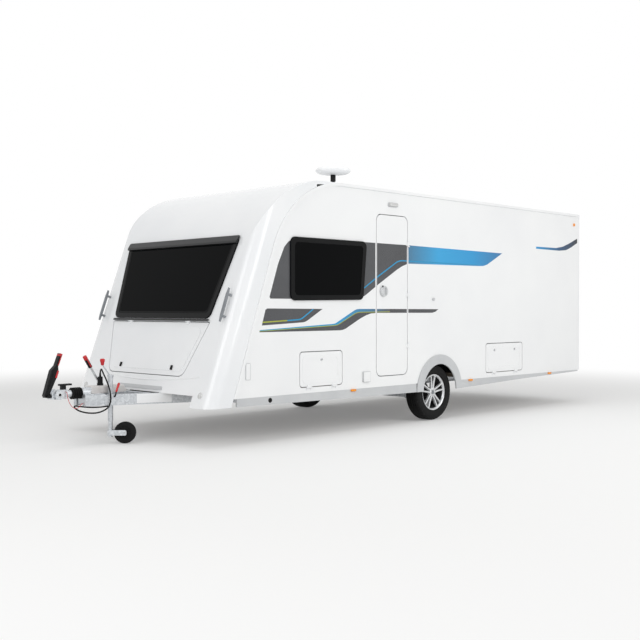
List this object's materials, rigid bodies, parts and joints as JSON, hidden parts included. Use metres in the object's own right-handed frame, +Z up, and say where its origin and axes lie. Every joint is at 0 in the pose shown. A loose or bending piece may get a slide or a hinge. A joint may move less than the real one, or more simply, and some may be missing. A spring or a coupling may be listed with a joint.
{
  "type": "touring caravan",
  "caption": "Touring caravan with a hollow panelled body, entrance door, lids and hatches, braked axle on a galvanised chassis, jockey wheel and corner legs.",
  "frame": {"origin": "middle of the whole length and width, on the ground under the road wheels", "axes": "+X forward to the coupling, +Y to the door side, +Z up"},
  "size_m": [7.3916, 2.236, 2.768],
  "materials": {
    "white_shell": "gloss",
    "grey_trim": "satin",
    "floor_ply": "matte",
    "furniture_ply": "satin",
    "cushion_cloth": "matte",
    "smoked_acrylic": "gloss",
    "amber_lens": "gloss",
    "red_lens": "gloss",
    "galvanised_steel": "satin",
    "alloy": "satin",
    "tyre": "matte",
    "black_plastic": "satin",
    "black_rubber": "matte",
    "silver_plastic": "satin",
    "grey_plastic": "satin",
    "red_plastic": "satin"
  },
  "bodies": {
    "caravan": {"wall_left": "white_shell", "wall_right": "white_shell", "roof_panel": "white_shell", "front_panel": "white_shell", "rear_panel": "white_shell", "floor_panel": "floor_ply", "roof_rails": "white_shell", "wheel_boxes": "black_plastic", "lower_trim": "grey_trim", "arch_trims": "grey_trim", "marker_lamps": "amber_lens", "windows": "smoked_acrylic", "window_trim": "black_plastic", "rooflights": "grey_trim", "locker_box": "furniture_ply", "furniture": "furniture_ply", "cushions": "cushion_cloth", "opening_frames": "black_rubber", "fixed_hinges": "white_shell", "chassis_frame": "galvanised_steel", "drawbar": "galvanised_steel", "axle": "galvanised_steel", "brake_gear": "galvanised_steel", "overrun_housing": "galvanised_steel", "overrun_cover": "silver_plastic", "bellows": "black_rubber", "coupling_head": "galvanised_steel", "coupling_levers": "black_plastic", "handbrake": "galvanised_steel", "plug_holder": "black_plastic", "tow_cable": "black_rubber", "breakaway_cable": "red_plastic", "jockey_clamp": "galvanised_steel", "leg_brackets": "galvanised_steel", "aerial_mast": "black_plastic", "grab_handles": "grey_plastic", "fairing": "white_shell", "rear_lamps": "red_lens", "fridge_vents": "white_shell", "fittings": "grey_plastic"},
    "door": {"door": "white_shell", "door_handle": "grey_trim"},
    "gas_lid": {"gas_lid": "white_shell", "locks": "grey_plastic"},
    "hatch_front_left": {"hatch_front_left": "white_shell"},
    "hatch_rear_left": {"hatch_rear_left": "white_shell"},
    "hatch_rear_right": {"hatch_rear_right": "white_shell"},
    "leg_front_left": {"leg_front_left": "galvanised_steel"},
    "leg_front_right": {"leg_front_right": "galvanised_steel"},
    "leg_rear_left": {"leg_rear_left": "galvanised_steel"},
    "leg_rear_right": {"leg_rear_right": "galvanised_steel"},
    "wheel_left": {"tyre_left": "tyre", "rim_left": "alloy"},
    "wheel_right": {"tyre_right": "tyre", "rim_right": "alloy"},
    "jockey_tube": {"jockey_tube": "galvanised_steel"},
    "jockey_fork": {"jockey_fork": "galvanised_steel"},
    "jockey_wheel": {"jockey_wheel": "black_rubber"},
    "aerial": {"aerial_head": "white_shell"}
  },
  "joints": [
    {"name": "wheel_left_spin", "type": "hinge", "parent": "caravan", "child": "wheel_left", "pos_m": [-0.545, 0.986, 0.312], "axis": [0, 1, 0], "continuous": true},
    {"name": "wheel_right_spin", "type": "hinge", "parent": "caravan", "child": "wheel_right", "pos_m": [-0.545, -0.986, 0.312], "axis": [0, 1, 0], "continuous": true},
    {"name": "door_swing", "type": "hinge", "parent": "caravan", "child": "door", "pos_m": [-0.04, 1.109, 1.39], "axis": [0, 0, 1], "range_deg": [0, 165]},
    {"name": "gas_lid_lift", "type": "hinge", "parent": "caravan", "child": "gas_lid", "pos_m": [2.44968, 0, 1.13033], "axis": [0, -1, 0], "range_deg": [0, 80]},
    {"name": "hatch_front_left_drop", "type": "hinge", "parent": "caravan", "child": "hatch_front_left", "pos_m": [1.291, 1.109, 0.483], "axis": [-1, 0, 0], "range_deg": [0, 110]},
    {"name": "hatch_rear_left_drop", "type": "hinge", "parent": "caravan", "child": "hatch_rear_left", "pos_m": [-1.89, 1.109, 0.483], "axis": [-1, 0, 0], "range_deg": [0, 110]},
    {"name": "hatch_rear_right_drop", "type": "hinge", "parent": "caravan", "child": "hatch_rear_right", "pos_m": [-2.6, -1.109, 0.483], "axis": [1, 0, 0], "range_deg": [0, 110]},
    {"name": "jockey_slide", "type": "slide", "parent": "caravan", "child": "jockey_tube", "axis": [0, 0, 1], "range_m": [-0.02, 0.08]},
    {"name": "jockey_swivel", "type": "hinge", "parent": "jockey_tube", "child": "jockey_fork", "pos_m": [3.06899, 0.10037, 0.25], "axis": [0, 0, 1], "continuous": true},
    {"name": "jockey_spin", "type": "hinge", "parent": "jockey_fork", "child": "jockey_wheel", "pos_m": [2.97353, 0.19583, 0.1], "axis": [-0.7071, -0.7071, 0], "continuous": true},
    {"name": "aerial_turn", "type": "hinge", "parent": "caravan", "child": "aerial", "pos_m": [0.605, 0.6, 2.7], "axis": [0, 0, 1], "range_deg": [-170, 170]},
    {"name": "leg_front_left_drop", "type": "hinge", "parent": "caravan", "child": "leg_front_left", "pos_m": [1.755, 0.8, 0.392], "axis": [0, 1, 0], "range_deg": [0, 64]},
    {"name": "leg_front_right_drop", "type": "hinge", "parent": "caravan", "child": "leg_front_right", "pos_m": [1.755, -0.8, 0.392], "axis": [0, 1, 0], "range_deg": [0, 64]},
    {"name": "leg_rear_left_drop", "type": "hinge", "parent": "caravan", "child": "leg_rear_left", "pos_m": [-2.965, 0.8, 0.392], "axis": [0, -1, 0], "range_deg": [0, 64]},
    {"name": "leg_rear_right_drop", "type": "hinge", "parent": "caravan", "child": "leg_rear_right", "pos_m": [-2.965, -0.8, 0.392], "axis": [0, -1, 0], "range_deg": [0, 64]}
  ]
}
